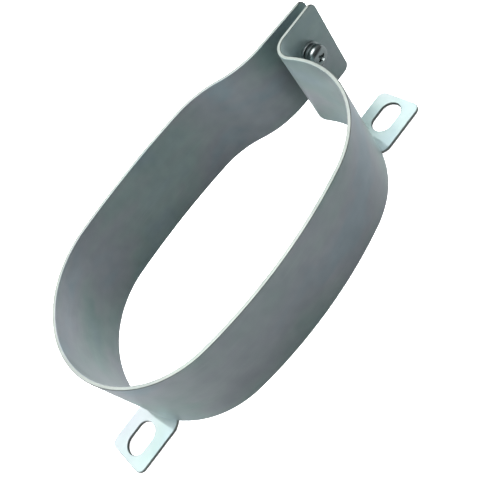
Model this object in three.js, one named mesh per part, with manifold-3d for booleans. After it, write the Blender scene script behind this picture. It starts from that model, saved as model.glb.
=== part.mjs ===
// An oval strap clamp of plated steel strip, with two ears drawn together by one screw and
// two slotted feet turned out from the strip's lower edge.
// Millimetres, +Z up. X runs along the oval towards the ears, and Y runs across it.

import * as THREE from 'three';
import { mergeVertices } from 'three/addons/utils/BufferGeometryUtils.js';
import Module from 'manifold-3d';

const wasm = await Module();
wasm.setup();

// Strip
const stripThickness = 1.5;
const stripWidth = 38;

// Oval, as radii of the strip's middle line
const ovalLength = 133.5;
const rearRadius = 40.7;
const frontRadius = 39.5;
const rightSideRadius = 176;
const leftSideRadius = 327;

// Bends that lead from the oval into the ears
const neckRadius = 7.5;
const shoulderRadius = 38;
const shoulderSetback = 42.5;
const shoulderRise = 2.2;
const swanRadius = 37.4;

// Ears: the near one carries the screw's head, and the far one leans in towards it
const earReach = 23.5;
const nearEarOffset = 19.2;
const earGapAtTip = 3.7;
const farEarLean = THREE.MathUtils.degToRad(4);
const earCornerRadius = 3;

// Feet
const footWidth = 19.5;
const footReach = 19.4;
const footOffset = -10.4;
const footDrop = 2.7;
const footBendRadius = 2;
const footCornerRadius = 3;
const slotLength = 13.5;
const slotWidth = 8.6;
const slotToFootEnd = 9.5;

// Screw, washers and nut: M5
const screwDiameter = 5;
const screwLength = 20;
const screwTipChamfer = 0.6;
const screwToEarTip = 12.2;
const screwRise = 22.2;
const headDiameter = 9.2;
const headHeight = 3.6;
const headRimHeight = 1;
const recessWingLength = 4.8;
const recessWingWidth = 1.1;
const recessDepth = 2.1;
const recessTurn = THREE.MathUtils.degToRad(20);
const flatWasherDiameter = 10;
const flatWasherThickness = 1;
const springWasherDiameter = 8.8;
const springWasherThickness = 1.2;
const springWasherSplit = 1.2;
const nutAcrossFlats = 8;
const nutHeight = 4;
const nutChamfer = 0.45;

// Clearances
const earHoleClearance = 0.5;
const washerBoreClearance = 0.3;
const threadClearance = 0.12;
const seatGap = 0.2;

// Fineness of the round surfaces
const bendFacet = THREE.MathUtils.degToRad(3);
const sideFacet = THREE.MathUtils.degToRad(1);
const neckFacet = THREE.MathUtils.degToRad(10);
const fullTurn = 2 * Math.PI;
const bendSegments = Math.round(fullTurn / bendFacet);
const boltSegments = 36;
const cornerSegments = 6;

// Heights: the feet stand on Z = 0
const stripBottom = stripThickness + footDrop;
const stripTop = stripBottom + stripWidth;
const cutMargin = 1;

function toSolid(geometry) {
  const bare = geometry.clone();
  bare.deleteAttribute('normal');
  bare.deleteAttribute('uv');
  const merged = mergeVertices(bare);
  const vertProperties = new Float32Array(merged.attributes.position.array);
  const triVerts = new Uint32Array(merged.index.array);
  return new wasm.Manifold(new wasm.Mesh({ numProp: 3, vertProperties, triVerts }));
}

function toGeometry(solid) {
  const mesh = solid.getMesh();
  const geometry = new THREE.BufferGeometry();
  geometry.setAttribute('position', new THREE.BufferAttribute(mesh.vertProperties, 3));
  geometry.setIndex(new THREE.BufferAttribute(mesh.triVerts, 1));
  const facetted = geometry.toNonIndexed();
  facetted.computeVertexNormals();
  return facetted;
}

// Where two circles meet, taking the point on the left (+1) or right (-1) of the line A to B.
function circlesMeet(centreA, radiusA, centreB, radiusB, side) {
  const span = centreB.clone().sub(centreA);
  const distance = span.length();
  const along = (radiusA ** 2 - radiusB ** 2 + distance ** 2) / (2 * distance);
  const across = Math.sqrt(radiusA ** 2 - along ** 2);
  const direction = span.divideScalar(distance);
  const normal = new THREE.Vector2(-direction.y, direction.x);
  return centreA.clone().addScaledVector(direction, along).addScaledVector(normal, side * across);
}

// The point on a line from start along direction that is a given distance from a centre.
function lineMeetsCircle(start, direction, centre, distance) {
  const offset = start.clone().sub(centre);
  const along = offset.dot(direction);
  const root = Math.sqrt(along ** 2 - offset.lengthSq() + distance ** 2);
  return start.clone().addScaledVector(direction, root - along);
}

function angleFrom(centre, point) {
  return Math.atan2(point.y - centre.y, point.x - centre.x);
}

function pointAt(centre, radius, angle) {
  return new THREE.Vector2(centre.x + radius * Math.cos(angle), centre.y + radius * Math.sin(angle));
}

// An arc's points at whole multiples of the facet angle, with both of its ends.
function arcPoints(arc, radius) {
  const turn = Math.sign(arc.end - arc.start);
  const closest = 0.2 * arc.facet;
  const points = [pointAt(arc.centre, radius, arc.start)];
  let angle = (turn > 0 ? Math.ceil(arc.start / arc.facet) : Math.floor(arc.start / arc.facet)) * arc.facet;
  while (turn * (arc.end - angle) > closest) {
    if (turn * (angle - arc.start) > closest) {
      points.push(pointAt(arc.centre, radius, angle));
    }
    angle += turn * arc.facet;
  }
  points.push(pointAt(arc.centre, radius, arc.end));
  return points;
}

// The strip's middle line as arcs, from the near ear round the oval to the far ear.
const rearCentre = new THREE.Vector2(rearRadius, 0);
const frontCentre = new THREE.Vector2(ovalLength - frontRadius, 0);
const shoulderCentre = new THREE.Vector2(ovalLength - shoulderSetback, shoulderRise);
const earTipX = ovalLength + earReach;
const screwX = earTipX - screwToEarTip;
const farEarOffset = nearEarOffset + stripThickness + earGapAtTip;
const farEarDirection = new THREE.Vector2(Math.cos(farEarLean), -Math.sin(farEarLean));
const farEarNormal = new THREE.Vector2(-farEarDirection.y, farEarDirection.x);
const farEarTip = new THREE.Vector2(earTipX, farEarOffset);

function stripArcs() {
  const rightSideCentre = circlesMeet(
    rearCentre, rightSideRadius - rearRadius, frontCentre, rightSideRadius - frontRadius, 1);
  const leftSideCentre = circlesMeet(
    rearCentre, leftSideRadius - rearRadius, shoulderCentre, leftSideRadius - shoulderRadius, -1);
  const neckCentre = lineMeetsCircle(
    new THREE.Vector2(earTipX, nearEarOffset - neckRadius), new THREE.Vector2(1, 0),
    frontCentre, frontRadius + neckRadius);
  const swanCentre = lineMeetsCircle(
    farEarTip.clone().addScaledVector(farEarNormal, swanRadius), farEarDirection,
    shoulderCentre, shoulderRadius + swanRadius);
  const neckAngle = angleFrom(frontCentre, neckCentre);
  const frontRightAngle = angleFrom(rightSideCentre, frontCentre);
  const rearRightAngle = angleFrom(rightSideCentre, rearCentre);
  const rearLeftAngle = angleFrom(leftSideCentre, rearCentre);
  const shoulderLeftAngle = angleFrom(leftSideCentre, shoulderCentre);
  const swanAngle = angleFrom(shoulderCentre, swanCentre);
  return [
    { centre: neckCentre, radius: neckRadius, start: Math.PI / 2, end: neckAngle + Math.PI, facet: neckFacet },
    { centre: frontCentre, radius: frontRadius, start: neckAngle, end: frontRightAngle, facet: bendFacet },
    { centre: rightSideCentre, radius: rightSideRadius, start: frontRightAngle, end: rearRightAngle,
      facet: sideFacet },
    { centre: rearCentre, radius: rearRadius, start: rearRightAngle, end: rearLeftAngle - fullTurn,
      facet: bendFacet },
    { centre: leftSideCentre, radius: leftSideRadius, start: rearLeftAngle, end: shoulderLeftAngle,
      facet: sideFacet },
    { centre: shoulderCentre, radius: shoulderRadius, start: shoulderLeftAngle, end: swanAngle,
      facet: bendFacet },
    { centre: swanCentre, radius: swanRadius, start: swanAngle - Math.PI, end: -Math.PI / 2 - farEarLean,
      facet: bendFacet },
  ];
}

// One face of the strip in plan, a signed distance to the left of the middle line.
function stripFace(distance) {
  const points = [new THREE.Vector2(earTipX + cutMargin, nearEarOffset - distance)];
  for (const arc of stripArcs()) {
    const turn = Math.sign(arc.end - arc.start);
    const run = arcPoints(arc, arc.radius - turn * distance);
    const meetsLast = run[0].distanceTo(points[points.length - 1]) < 0.01;
    points.push(...(meetsLast ? run.slice(1) : run));
  }
  points.push(farEarTip.clone()
    .addScaledVector(farEarDirection, cutMargin)
    .addScaledVector(farEarNormal, distance));
  return points;
}

function extruded(shape, depth) {
  return new THREE.ExtrudeGeometry(shape, { depth, bevelEnabled: false, curveSegments: cornerSegments });
}

// The bent strip, its ears cut to length with rounded corners.
function bentStrip() {
  const plan = new THREE.Shape([...stripFace(stripThickness / 2), ...stripFace(-stripThickness / 2).reverse()]);
  const strip = toSolid(extruded(plan, stripWidth).translate(0, 0, stripBottom));

  const rearEnd = -2 * stripThickness;
  const reach = 2 * (rearRadius + ovalLength);
  const side = new THREE.Shape();
  side.moveTo(rearEnd, stripBottom - cutMargin);
  side.lineTo(earTipX - earCornerRadius, stripBottom - cutMargin);
  side.lineTo(earTipX - earCornerRadius, stripBottom);
  side.absarc(earTipX - earCornerRadius, stripBottom + earCornerRadius, earCornerRadius, -Math.PI / 2, 0);
  side.absarc(earTipX - earCornerRadius, stripTop - earCornerRadius, earCornerRadius, 0, Math.PI / 2);
  side.lineTo(earTipX - earCornerRadius, stripTop + cutMargin);
  side.lineTo(rearEnd, stripTop + cutMargin);
  const trim = extruded(side, 2 * reach).rotateX(Math.PI / 2).translate(0, reach, 0);
  return strip.intersect(toSolid(trim));
}

// A foot: the strip's own curve carried down, bent out and cut to a slotted tongue.
// Outward is -1 at the rear and +1 at the front.
function foot(centre, bendRadius, outward) {
  const innerFace = bendRadius - stripThickness / 2;
  const outerFace = bendRadius + stripThickness / 2;
  const flatStart = outerFace + footBendRadius;
  const flatHeight = stripThickness + footBendRadius;
  const flatEnd = outerFace + 2 * footReach;
  const rootTop = stripBottom + stripThickness;
  const section = [
    new THREE.Vector2(flatStart, 0),
    new THREE.Vector2(flatEnd, 0),
    new THREE.Vector2(flatEnd, stripThickness),
  ];
  for (let i = 0; i <= cornerSegments; i++) {
    const angle = -Math.PI / 2 - (i / cornerSegments) * Math.PI / 2;
    section.push(pointAt(new THREE.Vector2(flatStart, flatHeight), footBendRadius, angle));
  }
  section.push(new THREE.Vector2(outerFace, rootTop));
  section.push(new THREE.Vector2(innerFace, rootTop));
  for (let i = 0; i <= cornerSegments; i++) {
    const angle = Math.PI + (i / cornerSegments) * Math.PI / 2;
    section.push(pointAt(new THREE.Vector2(flatStart, flatHeight), footBendRadius + stripThickness, angle));
  }
  const flange = new THREE.LatheGeometry(section, bendSegments).rotateX(Math.PI / 2);
  flange.translate(centre.x, centre.y, 0);

  const tongue = tonguePlan(bendRadius, outward);
  const cutter = extruded(tongue, rootTop + 2 * cutMargin).translate(centre.x, footOffset, -cutMargin);
  return toSolid(flange).intersect(toSolid(cutter));
}

// The tongue's outline about the middle of its root, with its slot.
function tonguePlan(bendRadius, outward) {
  const end = bendRadius + footReach;
  const halfWidth = footWidth / 2;
  const corner = end - footCornerRadius;
  const outline = [
    new THREE.Vector2(0, -halfWidth),
    ...arcPoints({ centre: new THREE.Vector2(corner, -halfWidth + footCornerRadius),
      start: -Math.PI / 2, end: 0, facet: neckFacet }, footCornerRadius),
    ...arcPoints({ centre: new THREE.Vector2(corner, halfWidth - footCornerRadius),
      start: 0, end: Math.PI / 2, facet: neckFacet }, footCornerRadius),
    new THREE.Vector2(0, halfWidth),
  ];
  const slotHalfRun = (slotLength - slotWidth) / 2;
  const slotMiddle = end - slotToFootEnd;
  const slot = [
    ...arcPoints({ centre: new THREE.Vector2(slotMiddle + slotHalfRun, 0),
      start: -Math.PI / 2, end: Math.PI / 2, facet: neckFacet }, slotWidth / 2),
    ...arcPoints({ centre: new THREE.Vector2(slotMiddle - slotHalfRun, 0),
      start: Math.PI / 2, end: 3 * Math.PI / 2, facet: neckFacet }, slotWidth / 2),
  ];
  const facing = (points) => {
    const turned = points.map((point) => new THREE.Vector2(outward * point.x, point.y));
    return outward < 0 ? turned.reverse() : turned;
  };
  const plan = new THREE.Shape(facing(outline));
  plan.holes.push(new THREE.Path(facing(slot)));
  return plan;
}

function ovalStrap() {
  const holeRadius = screwDiameter / 2 + earHoleClearance / 2;
  const holeLength = 2 * (farEarOffset - nearEarOffset) + 4 * stripThickness;
  const hole = new THREE.CylinderGeometry(holeRadius, holeRadius, holeLength, boltSegments);
  hole.translate(screwX, (nearEarOffset + farEarOffset) / 2, stripBottom + screwRise);
  const strap = bentStrip()
    .subtract(toSolid(hole))
    .add(foot(rearCentre, rearRadius, -1))
    .add(foot(frontCentre, frontRadius, 1));
  return toGeometry(strap);
}

// Screw with a domed head, its seat at Y = 0 and its shank along +Y.
function clampScrew() {
  const profile = [];
  const headRadius = headDiameter / 2;
  const domeSteps = 8;
  for (let i = 0; i <= domeSteps; i++) {
    const angle = (i / domeSteps) * Math.PI / 2;
    const height = headRimHeight + (headHeight - headRimHeight) * Math.cos(angle);
    profile.push(new THREE.Vector2(headRadius * Math.sin(angle), -height));
  }
  profile.push(new THREE.Vector2(headRadius, 0));
  profile.push(new THREE.Vector2(screwDiameter / 2, 0));
  profile.push(new THREE.Vector2(screwDiameter / 2, screwLength - screwTipChamfer));
  profile.push(new THREE.Vector2(screwDiameter / 2 - screwTipChamfer, screwLength));
  profile.push(new THREE.Vector2(0, screwLength));
  let screw = toSolid(new THREE.LatheGeometry(profile, boltSegments));
  for (const quarter of [0, 1]) {
    const wing = new THREE.BoxGeometry(recessWingLength, 2 * recessDepth, recessWingWidth);
    wing.rotateY(recessTurn + quarter * Math.PI / 2).translate(0, -headHeight, 0);
    screw = screw.subtract(toSolid(wing));
  }
  return toGeometry(screw);
}

// A flat ring about Y, from Y = 0 to its thickness. A split leaves a gap at one side.
function washer(outerDiameter, thickness, split) {
  const outerRadius = outerDiameter / 2;
  const boreRadius = screwDiameter / 2 + washerBoreClearance / 2;
  const plan = new THREE.Shape();
  if (split > 0) {
    const outerHalf = Math.asin(split / 2 / outerRadius);
    const innerHalf = Math.asin(split / 2 / boreRadius);
    plan.absarc(0, 0, outerRadius, outerHalf, fullTurn - outerHalf);
    plan.absarc(0, 0, boreRadius, fullTurn - innerHalf, innerHalf, true);
  } else {
    plan.absarc(0, 0, outerRadius, 0, fullTurn);
    const bore = new THREE.Path();
    bore.absarc(0, 0, boreRadius, 0, fullTurn, true);
    plan.holes.push(bore);
  }
  const ring = new THREE.ExtrudeGeometry(plan, { depth: thickness, bevelEnabled: false,
    curveSegments: boltSegments });
  return toGeometry(toSolid(ring.rotateX(Math.PI / 2).translate(0, thickness, 0)));
}

// Hexagon nut about Y, from Y = 0 to its height, with its corners chamfered on both faces.
function clampNut() {
  const cornerRadius = nutAcrossFlats / 2 / Math.cos(Math.PI / 6);
  const hexagon = new THREE.CylinderGeometry(cornerRadius, cornerRadius, nutHeight, 6);
  hexagon.translate(0, nutHeight / 2, 0);
  const rim = cornerRadius - nutChamfer;
  const chamfers = new THREE.LatheGeometry([
    new THREE.Vector2(0, 0),
    new THREE.Vector2(rim, 0),
    new THREE.Vector2(rim + 2 * nutChamfer, nutChamfer),
    new THREE.Vector2(rim + 2 * nutChamfer, nutHeight - nutChamfer),
    new THREE.Vector2(rim, nutHeight),
    new THREE.Vector2(0, nutHeight),
  ], boltSegments);
  const boreRadius = (screwDiameter + threadClearance) / 2;
  const bore = new THREE.CylinderGeometry(boreRadius, boreRadius, 3 * nutHeight, boltSegments);
  return toGeometry(toSolid(hexagon).intersect(toSolid(chamfers)).subtract(toSolid(bore)));
}

function plated(color, roughness) {
  return new THREE.MeshStandardMaterial({ color, roughness, metalness: 0.9 });
}

function piece(name, geometry, material, height = 0) {
  const mesh = new THREE.Mesh(geometry, material);
  mesh.name = name;
  mesh.position.y = height;
  return mesh;
}

// What is threaded on the screw stacks out from the ears' outer faces along its axis.
const flatWasherSeat = nearEarOffset - stripThickness / 2 - seatGap - flatWasherThickness;
const springWasherSeat = flatWasherSeat - seatGap - springWasherThickness;
const headSeat = springWasherSeat - seatGap;
const farFaceAtScrew = farEarOffset + screwToEarTip * Math.tan(farEarLean)
  + stripThickness / 2 / Math.cos(farEarLean);
const nutSeat = farFaceAtScrew + nutAcrossFlats / Math.sqrt(3) * Math.tan(farEarLean) + seatGap;

const fastening = new THREE.Group();
fastening.position.set(screwX, 0, stripBottom + screwRise);
fastening.add(
  piece('clamp_screw', clampScrew(), plated(0x7c868a, 0.3), headSeat),
  piece('spring_washer', washer(springWasherDiameter, springWasherThickness, springWasherSplit),
    plated(0x6f7a7c, 0.35), springWasherSeat),
  piece('flat_washer', washer(flatWasherDiameter, flatWasherThickness, 0), plated(0x8f9a9d, 0.35),
    flatWasherSeat),
  piece('clamp_nut', clampNut(), plated(0x8a9497, 0.35), nutSeat),
);

const assembled = new THREE.Group();
assembled.add(piece('oval_strap', ovalStrap(), plated(0x8b989c, 0.4)), fastening);

// The origin is under the middle of the whole part, on the plane that the feet stand on.
const bounds = new THREE.Box3().setFromObject(assembled);
const middle = bounds.getCenter(new THREE.Vector3());
assembled.position.set(-middle.x, -middle.y, -bounds.min.z);

const clamp = new THREE.Group();
clamp.add(assembled);

export default clamp;
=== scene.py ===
import math

import bmesh
import bpy
from mathutils import Matrix, Vector, geometry


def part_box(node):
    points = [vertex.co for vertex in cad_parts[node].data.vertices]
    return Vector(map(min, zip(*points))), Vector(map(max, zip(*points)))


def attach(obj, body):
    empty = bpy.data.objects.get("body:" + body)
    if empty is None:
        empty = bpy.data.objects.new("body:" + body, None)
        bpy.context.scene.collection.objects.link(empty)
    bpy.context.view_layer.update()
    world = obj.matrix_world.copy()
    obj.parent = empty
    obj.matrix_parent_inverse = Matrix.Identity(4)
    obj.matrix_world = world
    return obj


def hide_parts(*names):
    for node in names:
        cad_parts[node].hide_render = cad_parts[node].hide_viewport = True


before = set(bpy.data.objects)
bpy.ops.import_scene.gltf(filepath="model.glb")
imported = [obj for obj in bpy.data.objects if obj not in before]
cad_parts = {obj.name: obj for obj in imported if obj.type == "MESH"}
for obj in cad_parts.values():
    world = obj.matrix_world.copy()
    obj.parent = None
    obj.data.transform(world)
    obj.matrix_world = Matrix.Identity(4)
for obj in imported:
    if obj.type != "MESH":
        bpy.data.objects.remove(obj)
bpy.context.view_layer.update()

mm = 0.001
weld = 0.001 * mm  # vertices nearer than this are one
near = 0.01 * mm  # places nearer than this are the same place
scene = bpy.context.scene
up = Vector((0, 0, 1))


def vertsOf(made):
    return [g for g in made if isinstance(g, bmesh.types.BMVert)]


def edgesOf(made):
    return [g for g in made if isinstance(g, bmesh.types.BMEdge)]


def runLine(bm, vert, point):  # a straight edge on from a vertex
    made = bmesh.ops.extrude_vert_indiv(bm, verts=[vert])["verts"][0]
    made.co = point
    return made


def runArc(bm, vert, centre, axis, angle, steps):  # an arc of edges on from a vertex
    made = bmesh.ops.spin(bm, geom=[vert], cent=centre, axis=axis, angle=angle, steps=steps)
    return vertsOf(made["geom_last"])[0]


def runProfile(bm, points):  # a chain of edges in the XZ plane, given as radius and height
    vert = bm.verts.new((points[0][0], 0, points[0][1]))
    for radius, height in points[1:]:
        vert = runLine(bm, vert, Vector((radius, 0, height)))


def turn(bm, points, segments):  # a lathed shape about Z
    runProfile(bm, points)
    bmesh.ops.spin(bm, geom=bm.verts[:] + bm.edges[:], cent=(0, 0, 0), axis=up,
                   angle=2 * math.pi, steps=segments, use_merge=True)
    bmesh.ops.remove_doubles(bm, verts=bm.verts, dist=weld)


def closeUp(bm):
    bmesh.ops.remove_doubles(bm, verts=bm.verts, dist=weld)
    bmesh.ops.recalc_face_normals(bm, faces=bm.faces)


def newObject(name, bm):
    mesh = bpy.data.meshes.new(name)
    bm.to_mesh(mesh)
    bm.free()
    obj = bpy.data.objects.new(name, mesh)
    scene.collection.objects.link(obj)
    return obj


def carve(bm, cutterBm, operation):  # the exact Boolean of two closed shapes, back as a bmesh
    body = newObject("body", bm)
    cutter = newObject("cutter", cutterBm)
    modifier = body.modifiers.new("carve", "BOOLEAN")
    modifier.operation = operation
    modifier.solver = "EXACT"
    modifier.object = cutter
    graph = bpy.context.evaluated_depsgraph_get()
    result = bmesh.new()
    result.from_mesh(body.evaluated_get(graph).to_mesh())
    for obj in (body, cutter):
        mesh = obj.data
        bpy.data.objects.remove(obj)
        bpy.data.meshes.remove(mesh)
    return result


softening = {
    "roundAbove": math.radians(35),  # corners sharper than this are rounded
    "crispAbove": math.radians(28),  # the rest down to this stay crisp in the shading
    "segments": 3,
}


def markEdges(bm, wanted):  # the corners that the softening takes, and the rest kept sharp
    weight = bm.edges.layers.float.new("bevel_weight_edge")
    for edge in bm.edges:
        middle = (edge.verts[0].co + edge.verts[1].co) / 2
        if edge.is_manifold and edge.calc_face_angle() > softening["crispAbove"]:
            if wanted(middle) and edge.calc_face_angle() > softening["roundAbove"]:
                edge[weight] = 1
            else:
                edge.smooth = False


def finishPiece(name, bm, materials, body, node, bevel, place=None, wanted=None):
    if wanted is not None:
        markEdges(bm, wanted)
    if place is not None:
        bm.transform(place)
    for face in bm.faces:
        face.smooth = True
    obj = newObject(name, bm)
    for material in materials:
        obj.data.materials.append(material)
    soften = obj.modifiers.new("softEdges", "BEVEL")
    soften.width = bevel
    soften.segments = softening["segments"]
    soften.limit_method = "ANGLE" if wanted is None else "WEIGHT"
    soften.angle_limit = softening["roundAbove"]
    soften.use_clamp_overlap = False
    soften.harden_normals = True
    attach(obj, body)
    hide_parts(node)
    return obj


def shaderGroup(name, inputs, outputs):
    group = bpy.data.node_groups.new(name, "ShaderNodeTree")
    for socketName, socketType, value in inputs:
        socket = group.interface.new_socket(socketName, in_out="INPUT", socket_type=socketType)
        if value is not None:
            socket.default_value = value
    for socketName, socketType in outputs:
        group.interface.new_socket(socketName, in_out="OUTPUT", socket_type=socketType)
    return group, group.nodes.new("NodeGroupInput"), group.nodes.new("NodeGroupOutput")


def addNode(tree, kind, **settings):
    node = tree.nodes.new(kind)
    for key, value in settings.items():
        setattr(node, key, value)
    return node


def noise(tree, vector, scale, detail=3, roughness=0.5):
    node = addNode(tree, "ShaderNodeTexNoise")
    node.inputs["Scale"].default_value = scale
    node.inputs["Detail"].default_value = detail
    node.inputs["Roughness"].default_value = roughness
    tree.links.new(vector, node.inputs["Vector"])
    return node.outputs["Fac"]


def stretch(tree, vector, scale, turned=(0, 0, 0)):
    node = addNode(tree, "ShaderNodeMapping")
    node.inputs["Scale"].default_value = scale
    node.inputs["Rotation"].default_value = turned
    tree.links.new(vector, node.inputs["Vector"])
    return node.outputs["Vector"]


def mapTo(tree, value, low, high, outLow, outHigh):
    node = addNode(tree, "ShaderNodeMapRange", clamp=True)
    for index, number in enumerate((low, high, outLow, outHigh), start=1):
        node.inputs[index].default_value = number
    tree.links.new(value, node.inputs[0])
    return node.outputs[0]


def sums(tree, operation, a, b):
    node = addNode(tree, "ShaderNodeMath", operation=operation)
    for index, item in enumerate((a, b)):
        if isinstance(item, (int, float)):
            node.inputs[index].default_value = item
        else:
            tree.links.new(item, node.inputs[index])
    return node.outputs[0]


def mixColour(tree, factor, a, b, blend="MIX"):
    node = addNode(tree, "ShaderNodeMix", data_type="RGBA", blend_type=blend)
    for index, item in ((0, factor), (6, a), (7, b)):
        if isinstance(item, (int, float, tuple)):
            node.inputs[index].default_value = item
        else:
            tree.links.new(item, node.inputs[index])
    return node.outputs[2]


def ramp(tree, value, stops):
    node = addNode(tree, "ShaderNodeValToRGB")
    elements = node.color_ramp.elements
    while len(elements) < len(stops):
        elements.new(0.5)
    for element, (position, colour) in zip(elements, stops):
        element.position = position
        element.color = colour
    tree.links.new(value, node.inputs[0])
    return node.outputs[0]


def makeZincGroup():  # blotchy blue-white plate with a faint rainbow film
    group, given, result = shaderGroup(
        "zincPlate",
        [("Vector", "NodeSocketVector", None), ("Light", "NodeSocketColor", (0.5, 0.5, 0.5, 1)),
         ("Dark", "NodeSocketColor", (0.3, 0.3, 0.3, 1)), ("Film", "NodeSocketFloat", 0.3),
         ("Roughness", "NodeSocketFloat", 0.3)],
        [("Color", "NodeSocketColor"), ("Roughness", "NodeSocketFloat"),
         ("Height", "NodeSocketFloat")])
    vector = given.outputs["Vector"]
    clouds = noise(group, vector, 34, 4, 0.55)
    mottle = noise(group, vector, 190, 1, 0.5)
    speck = noise(group, vector, 700, 0, 0.5)
    shade = sums(group, "ADD", mapTo(group, clouds, 0.32, 0.68, 0, 0.7),
                 mapTo(group, mottle, 0.3, 0.7, 0, 0.3))
    base = mixColour(group, shade, given.outputs["Dark"], given.outputs["Light"])
    filmNoise = noise(group, stretch(group, vector, (1, 1, 1.6), (0.4, 0.2, 0.9)), 26, 3, 0.5)
    film = ramp(group, filmNoise, (
        (0.30, (0.86, 0.98, 1.0, 1)), (0.42, (0.88, 1.0, 0.93, 1)), (0.52, (1.0, 1.0, 0.98, 1)),
        (0.62, (1.0, 0.94, 0.98, 1)), (0.7, (0.88, 0.94, 1.0, 1))))
    filmed = mixColour(group, 1.0, base, film, "MULTIPLY")
    tinted = mixColour(group, given.outputs["Film"], base, filmed)
    group.links.new(tinted, result.inputs["Color"])
    # the gloss changes slowly over the plate; each look keeps its whole range above 0.28 or
    # below 0.27, since renders showed dots where a range crossed between the two
    slow = mapTo(group, clouds, 0.3, 0.7, -0.025, 0.035)
    rough = sums(group, "ADD", given.outputs["Roughness"], slow)
    rough = sums(group, "ADD", rough, mapTo(group, mottle, 0.3, 0.7, -0.006, 0.008))
    group.links.new(rough, result.inputs["Roughness"])
    height = sums(group, "ADD", mapTo(group, speck, 0.3, 0.7, 0, 0.1),
                  mapTo(group, mottle, 0.3, 0.7, 0, 0.9))
    group.links.new(height, result.inputs["Height"])
    return group


def makeGrainGroup():  # fine straight lines, and a few longer handling scratches across them
    group, given, result = shaderGroup(
        "rollingLines",
        [("Vector", "NodeSocketVector", None), ("Place", "NodeSocketVector", None),
         ("Scratches", "NodeSocketFloat", 0.3)],
        [("Lines", "NodeSocketFloat"), ("Scratches", "NodeSocketFloat")])
    place = given.outputs["Place"]
    lines = noise(group, given.outputs["Vector"], 1, 1, 0.5)
    group.links.new(mapTo(group, lines, 0.3, 0.7, 0, 1), result.inputs["Lines"])
    total = None
    # each scratch is about 12 mm long and a third of a millimetre wide
    for turned in ((0.5, 0.1, 0.3), (0.2, 0.9, 1.1)):
        strokes = noise(group, stretch(group, place, (80, 80, 1500), turned), 1, 1, 0.3)
        patches = noise(group, place, 45, 1, 0.4)
        broken = sums(group, "ADD", strokes, mapTo(group, patches, 0.4, 0.75, -0.1, 0.12))
        thin = mapTo(group, broken, 0.74, 0.79, 0, 1)
        total = thin if total is None else sums(group, "MAXIMUM", total, thin)
    marks = sums(group, "MULTIPLY", total, given.outputs["Scratches"])
    group.links.new(marks, result.inputs["Scratches"])
    return group


zincGroup = makeZincGroup()
grainGroup = makeGrainGroup()


def zincMaterial(look):
    material = bpy.data.materials.new(look["name"])
    material.use_nodes = True
    tree = material.node_tree
    shader = tree.nodes["Principled BSDF"]
    shader.inputs["Metallic"].default_value = look["metallic"]
    coords = addNode(tree, "ShaderNodeTexCoord").outputs["Object"]
    zinc = addNode(tree, "ShaderNodeGroup", node_tree=zincGroup)
    tree.links.new(coords, zinc.inputs["Vector"])
    zinc.inputs["Light"].default_value = (*look["light"], 1)
    zinc.inputs["Dark"].default_value = (*look["dark"], 1)
    zinc.inputs["Film"].default_value = look["film"]
    zinc.inputs["Roughness"].default_value = look["roughness"]
    grain = addNode(tree, "ShaderNodeGroup", node_tree=grainGroup)
    tree.links.new(stretch(tree, coords, look["lineScale"]), grain.inputs["Vector"])
    tree.links.new(coords, grain.inputs["Place"])
    grain.inputs["Scratches"].default_value = look["scratches"]
    lined = mixColour(tree, sums(tree, "MULTIPLY", grain.outputs["Lines"], look["lineTone"]),
                      zinc.outputs["Color"], (*look["dark"], 1))
    scratched = mixColour(tree, grain.outputs["Scratches"], lined, (*look["light"], 1))
    tree.links.new(scratched, shader.inputs["Base Color"])
    rough = sums(tree, "ADD", zinc.outputs["Roughness"],
                 sums(tree, "MULTIPLY", grain.outputs["Lines"], look["lineRough"]))
    tree.links.new(rough, shader.inputs["Roughness"])
    height = sums(tree, "ADD", zinc.outputs["Height"],
                  sums(tree, "MULTIPLY", grain.outputs["Lines"], look["lineHeight"]))
    bump = addNode(tree, "ShaderNodeBump")
    bump.inputs["Strength"].default_value = look["bump"]
    bump.inputs["Distance"].default_value = look["bumpDepth"]
    tree.links.new(height, bump.inputs["Height"])
    tree.links.new(bump.outputs["Normal"], shader.inputs["Normal"])
    return material


strap = {
    "thickness": 1.5 * mm,
    "width": 38 * mm,
    "bottom": 4.2 * mm,
    # each bend's centre in mm, its radius (minus where it turns right) and its steps
    "bends": (
        ((139.520, 11.700), 7.5, 16),
        ((94.000, 0.000), -39.5, 64),
        ((64.290, 133.228), -176, 20),
        ((40.700, 0.000), -40.7, 88),
        ((62.942, -285.435), -327, 16),
        ((91.000, 2.200), -38, 40),
        ((135.001, 63.430), 37.4, 24),
    ),
    "ovalLength": 133.5 * mm,
    "rearEnd": (40.7 * mm, 40.7 * mm),  # where an end's arc is centred, and its radius
    "frontEnd": (94 * mm, 39.5 * mm),
    "screwAlong": 144.8 * mm,
    "nearEarFace": 17.25 * mm,
    "earTip": 157 * mm,
    "nearEar": 19.2 * mm,
    "earLean": math.radians(4),
    "corner": 3 * mm,
    "earStrip": 1 * mm,
    "holeRadius": 2.75 * mm,
    "holeSegments": 48,
    "cornerSteps": 8,
    "footWidth": 19.5 * mm,
    "footReach": 19.4 * mm,
    "footMiddle": -10.4 * mm,
    "foldOut": 1.5 * mm,
    "foldFollow": 0.4,
    "foldStart": 1.6 * mm,
    "foldEnd": 1.4 * mm,
    "foldSteps": 10,
    "foldSquare": 1 * mm,
    "slotLength": 13.5 * mm,
    "slotWidth": 8.6 * mm,
    "slotToEnd": 9.5 * mm,
    "edgeRadius": 0.38 * mm,
}
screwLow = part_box("clamp_screw")[0]
washerLow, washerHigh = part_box("flat_washer")
screwAxis = Vector(((washerLow.x + washerHigh.x) / 2, 0, (washerLow.z + washerHigh.z) / 2))
# where the oval's rear end and middle line lie in the frame
ovalOrigin = Vector((screwAxis.x - strap["screwAlong"], washerLow.y - strap["nearEarFace"], 0))


def inPlan(x, y, z=0.0):
    return ovalOrigin + Vector((x, y, z))


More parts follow.
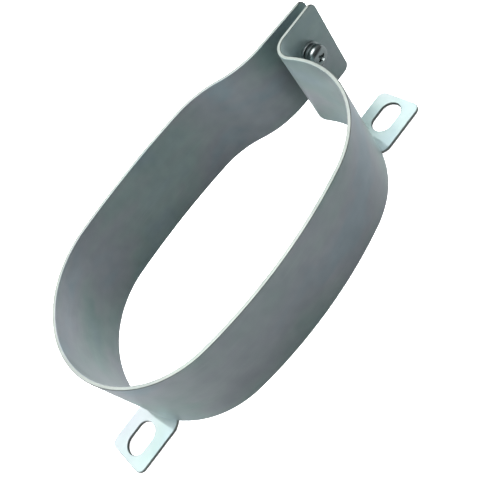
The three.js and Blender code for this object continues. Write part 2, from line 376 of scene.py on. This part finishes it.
def bendPath(bm):  # the strip's middle line, returned as its two end vertices
    bends = [(inPlan(c[0] * mm, c[1] * mm, strap["bottom"]), r * mm, steps)
             for c, r, steps in strap["bends"]]
    lean = strap["earLean"]
    earStart = strap["bends"][0][0][0] * mm
    first = vert = bm.verts.new(inPlan(earStart, strap["nearEar"], strap["bottom"]))
    for index, (centre, radius, steps) in enumerate(bends):
        if index + 1 < len(bends):
            nextCentre, nextRadius, _ = bends[index + 1]
            normal = (nextCentre - centre) / (nextRadius - radius)
        else:
            normal = Vector((math.sin(lean), math.cos(lean), 0))
        leave = -normal.normalized() * radius
        enter = vert.co - centre
        stops = footSides(centre, radius) + [leave]
        turned = 0
        whole = angleOn(enter, leave, radius)
        for stop in stops:
            part = angleOn(enter, stop, radius) - turned
            vert = runArc(bm, vert, centre, up, part, max(2, round(steps * part / whole)))
            turned += part
    return first, vert


def angleOn(enter, leave, radius):  # how far a bend turns from one direction to another
    angle = math.atan2(leave.y, leave.x) - math.atan2(enter.y, enter.x)
    return angle % (2 * math.pi) if radius > 0 else -(-angle % (2 * math.pi))


def footSides(centre, radius):  # the places on an end bend where a foot's sides leave it
    if abs(centre.y - ovalOrigin.y) > near:
        return []
    outward = 1 if centre.x > inPlan(strap["ovalLength"] / 2, 0).x else -1
    halfWidth = outward * strap["footWidth"] / 2
    sides = [strap["footMiddle"] + halfWidth, strap["footMiddle"] - halfWidth]
    return [Vector((outward * math.sqrt(radius ** 2 - side ** 2), side, 0)) for side in sides]


# a flat end with a hole through it, and rounded corners
def tongue(bm, first, last, rootEdges, along, reach, middle, length, holeWidth):
    corner = strap["corner"]
    steps = strap["cornerSteps"]
    across = (last.co - first.co).normalized()
    width = (last.co - first.co).length
    axis = (-across).cross(along)
    station = along * (middle - first.co).dot(along)
    before = set(bm.edges)
    firstSide = runLine(bm, first, first.co + station)
    vert = runLine(bm, firstSide, first.co + along * (reach - corner))
    vert = runArc(bm, vert, vert.co + across * corner, axis, math.pi / 2, steps)
    vert = runLine(bm, vert, vert.co + across * (width - 2 * corner))
    vert = runArc(bm, vert, vert.co - along * corner, axis, math.pi / 2, steps)
    lastSide = runLine(bm, vert, last.co + station)
    bmesh.ops.contextual_create(bm, geom=[lastSide, last])
    lowSide, highSide = hole(bm, middle, along, across, length, holeWidth)
    bmesh.ops.contextual_create(bm, geom=[firstSide, lowSide])
    bmesh.ops.contextual_create(bm, geom=[lastSide, highSide])
    outline = [e for e in bm.edges if e not in before] + rootEdges
    # one whole face on each side of the hole's middle, so the edge softening has room
    for half in (-1, 1):
        loop = [e for e in outline
                if half * ((e.verts[0].co + e.verts[1].co) / 2 - middle).dot(along) > -weld]
        bmesh.ops.edgeloop_fill(bm, edges=loop)


# a round hole or a slot, returned as its two side vertices
def hole(bm, middle, along, across, length, width):
    lie = Matrix((along, across, along.cross(across))).transposed().to_4x4()
    segments = strap["holeSegments"]
    halfStep = Matrix.Rotation(math.pi / segments, 4, "Z")
    made = bmesh.ops.create_circle(bm, segments=segments, radius=width / 2,
                                   matrix=Matrix.Translation(middle) @ lie @ halfStep)["verts"]
    for vert in made:
        side = 1 if (vert.co - middle).dot(along) > 0 else -1
        vert.co += along * side * (length - width) / 2
    ring = {e for v in made for e in v.link_edges}
    sides = [e for e in ring
             if (e.verts[0].co - middle).dot(along) * (e.verts[1].co - middle).dot(along) < 0]
    sides.sort(key=lambda e: (e.verts[0].co - middle).dot(across))  # the same order in every run
    split = [bmesh.utils.edge_split(e, e.verts[0], 0.5)[1] for e in sides]
    return sorted(split, key=lambda v: (v.co - middle).dot(across))


def ear(bm, root, along, reach, screwReach):
    tops = bmesh.ops.extrude_edge_only(bm, edges=[root])
    bmesh.ops.translate(bm, verts=vertsOf(tops["geom"]), vec=along * strap["earStrip"])
    fresh = vertsOf(tops["geom"])
    edge = [e for e in edgesOf(tops["geom"]) if all(v in fresh for v in e.verts)][0]
    low, high = sorted(edge.verts, key=lambda v: v.co.z)
    middle = low.co + along * (screwReach - strap["earStrip"]) + up * (screwAxis.z - low.co.z)
    size = 2 * strap["holeRadius"]
    tongue(bm, low, high, [edge], along, reach - strap["earStrip"], middle, size, size)


def foot(bm, outward, centreX, radius):
    middleY = ovalOrigin.y + strap["footMiddle"]
    halfWidth = strap["footWidth"] / 2
    flatHeight = strap["thickness"] / 2
    steps = strap["foldSteps"]

    def inFoot(vert):
        return (abs(vert.co.y - middleY) < halfWidth + near
                and abs(vert.co.z - strap["bottom"]) < near
                and outward * (vert.co.x - centreX) > 0.5 * radius)

    row = [e for e in bm.edges if all(inFoot(v) for v in e.verts)]
    # the band curves away from the fold, so each place along it has its own slope down to the flat
    slopes = {}
    for vert in {v for e in row for v in e.verts}:
        recede = radius - outward * (vert.co.x - centreX)
        foldX = centreX + outward * (radius + strap["foldOut"] - strap["foldFollow"] * recede)
        top = vert.co.copy()
        end = Vector((foldX, top.y, flatHeight))
        lead = end - Vector((outward * strap["foldEnd"], 0, 0))
        slopes[round(top.y, 7)] = geometry.interpolate_bezier(
            top, top - up * strap["foldStart"], lead, end, steps + 1)
    for step in range(1, steps + 1):
        made = bmesh.ops.extrude_edge_only(bm, edges=row)["geom"]
        fresh = vertsOf(made)
        row = [e for e in edgesOf(made) if all(v in fresh for v in e.verts)]
        for vert in fresh:
            vert.co = slopes[round(vert.co.y, 7)][step]
    ends = sorted({v for e in row for v in e.verts}, key=lambda v: v.co.y)
    along = Vector((outward, 0, 0))
    tipX = centreX + outward * (radius + strap["footReach"])
    squareX = centreX + outward * (radius + strap["foldOut"] + strap["foldSquare"])
    for end in (ends[0], ends[-1]):  # square up the two sides before the flat
        squared = runLine(bm, end, Vector((squareX, end.co.y, flatHeight)))
        ends[ends.index(end)] = squared
    made = [e for e in bm.edges if any(v in (ends[0], ends[-1]) for v in e.verts)]
    slotMiddle = Vector((tipX - outward * strap["slotToEnd"], middleY, flatHeight))
    reach = abs(tipX - ends[0].co.x)
    tongue(bm, ends[0], ends[-1], row + made, along, reach, slotMiddle,
           strap["slotLength"], strap["slotWidth"])


def makeStrap():
    bm = bmesh.new()
    first, last = bendPath(bm)
    made = bmesh.ops.extrude_edge_only(bm, edges=bm.edges[:])["geom"]
    bmesh.ops.translate(bm, verts=vertsOf(made), vec=up * strap["width"])
    lean = strap["earLean"]
    farAlong = Vector((math.cos(lean), -math.sin(lean), 0))
    for vert, along in ((first, Vector((1, 0, 0))), (last, farAlong)):
        root = [e for e in vert.link_edges if abs(e.verts[0].co.z - e.verts[1].co.z) > mm][0]
        # the leaning ear's outer corner stands further out
        leanRoom = strap["thickness"] / 2 * abs(along.y)
        reach = (inPlan(strap["earTip"], 0).x - leanRoom - vert.co.x) / along.x
        ear(bm, root, along, reach, (screwAxis.x - vert.co.x) / along.x)
    for outward, (centreX, radius) in ((-1, strap["rearEnd"]), (1, strap["frontEnd"])):
        foot(bm, outward, inPlan(centreX, 0).x, radius)
    closeUp(bm)
    shortest = min(e.calc_length() for e in bm.edges)
    print("strap sheet:", len(bm.faces), "faces, shortest edge", round(shortest / mm, 3), "mm")
    return bm


stripLook = {
    "name": "zincStrip", "metallic": 0.58,
    "light": (0.335, 0.372, 0.388), "dark": (0.232, 0.28, 0.29),
    "film": 0.9, "roughness": 0.325, "scratches": 0.3,
    "lineScale": (30, 30, 1100), "lineTone": 0.12, "lineRough": 0.015, "lineHeight": 0.5,
    "bump": 0.1, "bumpDepth": 0.02 * mm,
}
cutLook = {
    "name": "zincCutEdge", "metallic": 1.0,
    "light": (0.27, 0.295, 0.275), "dark": (0.17, 0.19, 0.18),
    "film": 0.2, "roughness": 0.33, "scratches": 0.2,
    "lineScale": (900, 900, 60), "lineTone": 0.2, "lineRough": 0.05, "lineHeight": 0.8,
    "bump": 0.3, "bumpDepth": 0.04 * mm,
}
stripZinc = zincMaterial(stripLook)
cutZinc = zincMaterial(cutLook)

strapPiece = finishPiece("ovalStrapBand", makeStrap(), (stripZinc, cutZinc), "strap",
                         "oval_strap", strap["edgeRadius"])
wall = strapPiece.modifiers.new("stripThickness", "SOLIDIFY")
wall.thickness = strap["thickness"]
wall.offset = 0
wall.use_even_offset = True
wall.material_offset_rim = 1
strapPiece.modifiers.move(strapPiece.modifiers.find(wall.name), 0)
print("strap done")

screw = {
    "headRadius": 4.6 * mm,
    "headHeight": 3.6 * mm,
    "rimHeight": 1.05 * mm,
    "underRadius": 2.3 * mm,
    "crestRadius": 2.48 * mm,
    "rootRadius": 2.05 * mm,
    "pitch": 0.8 * mm,
    "threadTop": -1.13 * mm,
    "threadEnd": -19.27 * mm,
    "length": 20 * mm,
    "tipTaper": 0.8,
    "rimRound": 0.2 * mm,
    "domeFullness": 0.9,
    "domeSteps": 14,
    "segments": 48,
    "recessTurn": math.radians(20),
    "edgeRadius": 0.08 * mm,
}
recess = {
    "wing": (4.3 * mm, 0.95 * mm, 2.6 * mm),
    "wingTaper": (0.42, 0.72, 1),
    "wingDepth": 0.8 * mm,
    # the cone in the middle, as radius and height from the top of the head
    "cone": ((1.45 * mm, 0.5 * mm), (1.0 * mm, -1.0 * mm), (0.65 * mm, -2.2 * mm), (0, -2.6 * mm)),
    "segments": 24,
}
thread = {
    # one turn's outline, as part of the pitch: foot of the flank, then the crest's two sides
    "flankFoot": 0.24,
    "crestFrom": 0.56,
    "crestTo": 0.68,
    "steps": 32,
    "weld": 0.002 * mm,
    "cutGap": 0.0005 * mm,
}


def domeProfile(part):
    points = [(part["headRadius"] - part["rimRound"], 0), (part["headRadius"], part["rimRound"])]
    steps = part["domeSteps"]
    fullness = part["domeFullness"]
    dome = part["headHeight"] - part["rimHeight"]
    for step in range(steps + 1):
        angle = math.pi / 2 * step / steps
        points.append((part["headRadius"] * math.cos(angle) ** fullness,
                       part["rimHeight"] + dome * math.sin(angle) ** fullness))
    points[-1] = (0, part["headHeight"])
    return points


def threadBody(crest, root, pitch, top, end):  # an open helical wall, cut square at both heights
    bm = bmesh.new()
    steps = thread["steps"]
    turns = math.ceil((top - end) / pitch) + 3
    start = end - 1.5 * pitch
    runProfile(bm, [(root, start), (root, start + thread["flankFoot"] * pitch),
                    (crest, start + thread["crestFrom"] * pitch),
                    (crest, start + thread["crestTo"] * pitch), (root, start + pitch)])
    bmesh.ops.spin(bm, geom=bm.verts[:] + bm.edges[:], cent=(0, 0, 0), axis=up,
                   angle=2 * math.pi * turns, steps=steps * turns, dvec=(0, 0, pitch / steps))
    bmesh.ops.remove_doubles(bm, verts=bm.verts, dist=thread["weld"])
    for height, clear in ((top, {"clear_outer": True}), (end, {"clear_inner": True})):
        bmesh.ops.bisect_plane(bm, geom=bm.verts[:] + bm.edges[:] + bm.faces[:],
                               dist=thread["cutGap"], plane_co=(0, 0, height),
                               plane_no=(0, 0, 1), **clear)
    return bm


def rimAt(bm, height):
    return [e for e in bm.edges
            if e.is_boundary and all(abs(v.co.z - height) < near for v in e.verts)]


def makeScrew():
    part = screw
    bm = threadBody(part["crestRadius"], part["rootRadius"], part["pitch"],
                    part["threadTop"], part["threadEnd"])
    rim = rimAt(bm, part["threadEnd"])
    made = bmesh.ops.extrude_edge_only(bm, edges=rim)["geom"]
    tip = vertsOf(made)
    bmesh.ops.scale(bm, verts=tip, vec=(part["tipTaper"], part["tipTaper"], 1))
    bmesh.ops.translate(bm, verts=tip, vec=(0, 0, -part["length"] - part["threadEnd"]))
    bmesh.ops.edgeloop_fill(bm, edges=rimAt(bm, -part["length"]))
    head = bmesh.new()
    turn(head, [(part["underRadius"], 0)] + domeProfile(part), part["segments"])
    headMesh = bpy.data.meshes.new("head")
    head.to_mesh(headMesh)
    head.free()
    bm.from_mesh(headMesh)
    bpy.data.meshes.remove(headMesh)
    bmesh.ops.bridge_loops(bm, edges=rimAt(bm, 0) + rimAt(bm, part["threadTop"]))
    closeUp(bm)
    print("screw open edges before the recess:", sum(not e.is_manifold for e in bm.edges))
    return bm


def recessCutter(quarter):  # one tapered wing pair of the cross
    bm = bmesh.new()
    bmesh.ops.create_cube(bm, size=1, matrix=Matrix.Diagonal((*recess["wing"], 1)))
    low = [v for v in bm.verts if v.co.z < 0]
    bmesh.ops.scale(bm, verts=low, vec=recess["wingTaper"])
    bmesh.ops.translate(bm, verts=bm.verts, vec=(0, 0, screw["headHeight"] - recess["wingDepth"]))
    turned = screw["recessTurn"] + quarter * math.pi / 2
    bmesh.ops.rotate(bm, verts=bm.verts, matrix=Matrix.Rotation(turned, 3, "Z"))
    closeUp(bm)
    return bm


def recessCone():
    bm = bmesh.new()
    points = [(radius, screw["headHeight"] + height) for radius, height in recess["cone"]]
    turn(bm, [(0, points[0][1])] + points, recess["segments"])
    closeUp(bm)
    return bm


boltLook = {
    "name": "zincBolt", "metallic": 1.0,
    "light": (0.33, 0.355, 0.36), "dark": (0.2, 0.225, 0.23),
    "film": 0.35, "roughness": 0.21, "scratches": 0.2,
    "lineScale": (400, 400, 400), "lineTone": 0.1, "lineRough": 0.01, "lineHeight": 0.2,
    "bump": 0.2, "bumpDepth": 0.03 * mm,
}
boltZinc = zincMaterial(boltLook)
toHead = Matrix.Rotation(math.pi / 2, 4, "X")  # local up becomes the head's side, -Y


def onAxis(y):
    return Matrix.Translation((screwAxis.x, y, screwAxis.z)) @ toHead


screwBm = makeScrew()
for cutterBm in (recessCutter(0), recessCutter(1), recessCone()):
    screwBm = carve(screwBm, cutterBm, "DIFFERENCE")
headSeat = screwLow.y + screw["headHeight"]
finishPiece("panHeadScrew", screwBm, (boltZinc,), "screw", "clamp_screw",
            screw["edgeRadius"], onAxis(headSeat),
            wanted=lambda c: c.z > -near and math.hypot(c.x, c.y) > 0.6 * screw["headRadius"])
print("screw done")

washer = {
    "boreRadius": 2.65 * mm,
    "outerRadius": 5 * mm,
    "thickness": 1 * mm,
    "segments": 72,
    "earGap": 0.2 * mm,  # between the plain model's washer and the ear
    "seatGap": 0.02 * mm,
    "edgeRadius": 0.14 * mm,
}
springWasher = {
    "boreRadius": 2.62 * mm,
    "outerRadius": 4.4 * mm,
    "thickness": 1.25 * mm,
    "gap": math.radians(13),
    "rise": 0.4 * mm,
    "slant": 0.35,
    "splitAt": math.radians(205),
    "slantOver": math.radians(10),
    "outerThin": 0.06 * mm,
    "steps": 60,
    "seatGap": 0.05 * mm,
    "edgeRadius": 0.1 * mm,
}


def makeWasher():
    bm = bmesh.new()
    part = washer
    turn(bm, [(part["boreRadius"], 0), (part["outerRadius"], 0),
              (part["outerRadius"], part["thickness"]), (part["boreRadius"], part["thickness"]),
              (part["boreRadius"], 0)], part["segments"])
    closeUp(bm)
    return bm


def makeSpringWasher():
    bm = bmesh.new()
    part = springWasher
    corners = [(part["boreRadius"], 0), (part["outerRadius"], part["outerThin"]),
               (part["outerRadius"], part["thickness"] - part["outerThin"]),
               (part["boreRadius"], part["thickness"])]
    outline = [bm.verts.new((r, 0, z)) for r, z in corners]
    face = bmesh.ops.contextual_create(bm, geom=outline)["faces"]
    steps = part["steps"]
    bmesh.ops.spin(bm, geom=face, cent=(0, 0, 0), axis=up, angle=2 * math.pi - part["gap"],
                   steps=steps, dvec=(0, 0, part["rise"] / steps))
    bmesh.ops.remove_doubles(bm, verts=bm.verts, dist=weld)
    middle = (part["thickness"] + part["rise"]) / 2
    for vert in bm.verts:  # slant the two ends at the split
        around = math.atan2(vert.co.y, vert.co.x) % (2 * math.pi)
        fromEnd = min(around, abs(2 * math.pi - part["gap"] - around))
        nearEnd = max(0, 1 - fromEnd / part["slantOver"])
        shift = part["slant"] * (vert.co.z - middle) * nearEnd / part["outerRadius"]
        vert.co = Matrix.Rotation(shift, 3, "Z") @ vert.co
    bmesh.ops.rotate(bm, verts=bm.verts, matrix=Matrix.Rotation(part["splitAt"], 3, "Z"))
    closeUp(bm)
    print("spring washer open edges:", sum(not e.is_manifold for e in bm.edges))
    return bm


earFace = washerHigh.y + washer["earGap"]
washerLook = dict(boltLook, name="zincWasher", light=(0.5, 0.53, 0.54), dark=(0.34, 0.37, 0.38),
                  roughness=0.33, lineScale=(700, 60, 700))
springLook = dict(boltLook, name="springSteel", light=(0.34, 0.37, 0.38),
                  dark=(0.2, 0.23, 0.24), roughness=0.34)
# local up is -Y, so each washer stands on its far face
finishPiece("roundWasher", makeWasher(), (zincMaterial(washerLook),), "washer",
            "flat_washer", washer["edgeRadius"], onAxis(earFace - washer["seatGap"]))
finishPiece("splitWasher", makeSpringWasher(), (zincMaterial(springLook),), "screw",
            "spring_washer", springWasher["edgeRadius"],
            onAxis(earFace - springWasher["seatGap"] - washer["thickness"]))
print("washers done")

nut = {
    "acrossFlats": 8 * mm,
    "height": 4 * mm,
    "faceRadius": 3.8 * mm,
    "chamferSlope": math.tan(math.radians(30)),
    "boreRadius": 2.56 * mm,
    "threadRadius": 2.85 * mm,
    "mouthRadius": 2.95 * mm,
    "mouthOver": 0.3 * mm,
    "mouthDepth": 0.5 * mm,
    "mouthSegments": 48,
    "segments": 72,
    "overcut": 1 * mm,  # how far the tools reach past the faces
    "seatShift": 0.15 * mm,  # closes the plain model's gap to the ear
    "edgeRadius": 0.07 * mm,
}


def makeNut():
    part = nut
    height = part["height"]
    cornerRadius = part["acrossFlats"] / math.sqrt(3)
    rim = part["faceRadius"]
    over = part["overcut"]
    lie = Matrix.Translation((0, 0, height / 2)) @ Matrix.Rotation(math.pi / 6, 4, "Z")
    bm = bmesh.new()
    bmesh.ops.create_cone(bm, cap_ends=True, segments=6, radius1=cornerRadius,
                          radius2=cornerRadius, depth=height + over, matrix=lie)
    barrel = bmesh.new()
    drop = part["chamferSlope"] * over
    turn(barrel, [(0, 0), (rim, 0), (rim + over, drop), (rim + over, height - drop),
                  (rim, height), (0, height)], part["segments"])
    closeUp(barrel)
    bm = carve(bm, barrel, "INTERSECT")
    tap = threadBody(part["threadRadius"], part["boreRadius"], screw["pitch"], height + over, -over)
    for end in (height + over, -over):
        bmesh.ops.edgeloop_fill(tap, edges=rimAt(tap, end))
    closeUp(tap)
    bm = carve(bm, tap, "DIFFERENCE")
    wide = part["mouthRadius"] + part["mouthOver"]
    narrow = part["mouthRadius"] - part["mouthDepth"]
    for face, outward in ((0, -1), (height, 1)):  # the countersunk mouth at each end of the bore
        outside = face + outward * part["mouthOver"]
        inside = face - outward * part["mouthDepth"]
        mouth = bmesh.new()
        turn(mouth, [(0, outside), (wide, outside), (narrow, inside), (0, inside)],
             part["mouthSegments"])
        closeUp(mouth)
        bm = carve(bm, mouth, "DIFFERENCE")
    closeUp(bm)
    print("nut open edges:", sum(not e.is_manifold for e in bm.edges))
    return bm


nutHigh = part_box("clamp_nut")[1]
nutLook = dict(boltLook, name="zincNut", light=(0.48, 0.51, 0.52), dark=(0.32, 0.35, 0.36),
               roughness=0.33)
finishPiece("hexNut", makeNut(), (zincMaterial(nutLook),), "nut", "clamp_nut",
            nut["edgeRadius"], onAxis(nutHigh.y - nut["seatShift"]),
            wanted=lambda c: math.hypot(c.x, c.y) > nut["mouthRadius"] + 0.5 * mm)
print("nut done")

studio = {
    "floorColour": (0.97, 0.975, 0.98),
    "floorMirrored": (0.22, 0.228, 0.232),
    "floorGlow": (0.55, 0.55, 0.55),
    "floorSize": 3,
    "backdrop": 1.0,
    "skyColour": (0.97, 0.985, 1.0),
    "frontDim": 0.3,
    "worldTop": 0.55,
    "worldHorizon": 0.22,
    "cameraAt": (-19.52 * mm, -167.43 * mm, 207.85 * mm),
    "cameraRight": (0.60798, -0.63232, -0.48014),
    "cameraUp": (0.78967, 0.41890, 0.44826),
    "cameraBack": (-0.08231, -0.65169, 0.75401),
    "lens": 51.45,
    "sensor": 36,
    "clip": (0.005, 20),
    # each softbox's name, place, aim, size, power and whether the metal mirrors it
    "softboxes": (
        ("overhead", (0.02, 0.46, 0.60), (0, 0, 0), (1.15, 0.8), 7.6, True),
        ("top", (0, 0, 0.95), (0, 0, 0), (0.8, 0.8), 9, True),
        ("leftSide", (-0.75, 0.16, 0.38), (0, 0, 0.02), (0.5, 0.4), 13, False),
        ("rightSide", (0.75, 0.18, 0.38), (0, 0, 0.02), (0.5, 0.4), 16, False),
    ),
}

floorBm = bmesh.new()
bmesh.ops.create_grid(floorBm, x_segments=1, y_segments=1, size=studio["floorSize"])
floor = newObject("floor", floorBm)
floorMaterial = bpy.data.materials.new("palePaper")
floorMaterial.use_nodes = True
paper = floorMaterial.node_tree.nodes["Principled BSDF"]
paper.inputs["Roughness"].default_value = 0.9
paper.inputs["Specular IOR Level"].default_value = 0
floorTree = floorMaterial.node_tree
seen = addNode(floorTree, "ShaderNodeLightPath").outputs["Is Camera Ray"]
tones = mixColour(floorTree, seen, (*studio["floorMirrored"], 1), (*studio["floorColour"], 1))
floorTree.links.new(tones, paper.inputs["Base Color"])
glow = mixColour(floorTree, seen, (0, 0, 0, 1), (*studio["floorGlow"], 1))
floorTree.links.new(glow, paper.inputs["Emission Color"])
paper.inputs["Emission Strength"].default_value = 1
floor.data.materials.append(floorMaterial)

world = bpy.data.worlds.new("studio")
scene.world = world
world.use_nodes = True
sky = world.node_tree
direction = addNode(sky, "ShaderNodeTexCoord").outputs["Generated"]
split = addNode(sky, "ShaderNodeSeparateXYZ")
sky.links.new(direction, split.inputs[0])
tone = mapTo(sky, split.outputs["Z"], 0.0, 0.9, studio["worldHorizon"], studio["worldTop"])
dimFront = mapTo(sky, split.outputs["Y"], -0.8, 0.2, studio["frontDim"], 1)
lighting = sums(sky, "MULTIPLY", tone, dimFront)
skySeen = addNode(sky, "ShaderNodeLightPath").outputs["Is Camera Ray"]
behind = sums(sky, "MULTIPLY", skySeen, studio["backdrop"])
strength = sums(sky, "MAXIMUM", lighting, behind)
sky.links.new(strength, sky.nodes["Background"].inputs["Strength"])
sky.nodes["Background"].inputs["Color"].default_value = (*studio["skyColour"], 1)


def addSoftbox(name, location, aim, size, power, mirrored):
    lamp = bpy.data.lights.new(name, "AREA")
    lamp.shape = "RECTANGLE"
    lamp.size, lamp.size_y = size
    lamp.energy = power
    obj = bpy.data.objects.new(name, lamp)
    obj.location = location
    obj.rotation_mode = "QUATERNION"
    obj.rotation_quaternion = (Vector(aim) - Vector(location)).to_track_quat("-Z", "Y")
    obj.visible_glossy = mirrored
    scene.collection.objects.link(obj)


for softbox in studio["softboxes"]:
    addSoftbox(*softbox)

camera = bpy.data.objects.new("camera", bpy.data.cameras.new("camera"))
axes = Matrix((studio["cameraRight"], studio["cameraUp"], studio["cameraBack"])).transposed()
camera.matrix_world = Matrix.Translation(studio["cameraAt"]) @ axes.to_4x4()
camera.data.lens = studio["lens"]
camera.data.sensor_width = studio["sensor"]
camera.data.clip_start, camera.data.clip_end = studio["clip"]
scene.collection.objects.link(camera)
scene.camera = camera
scene.view_settings.view_transform = "Standard"
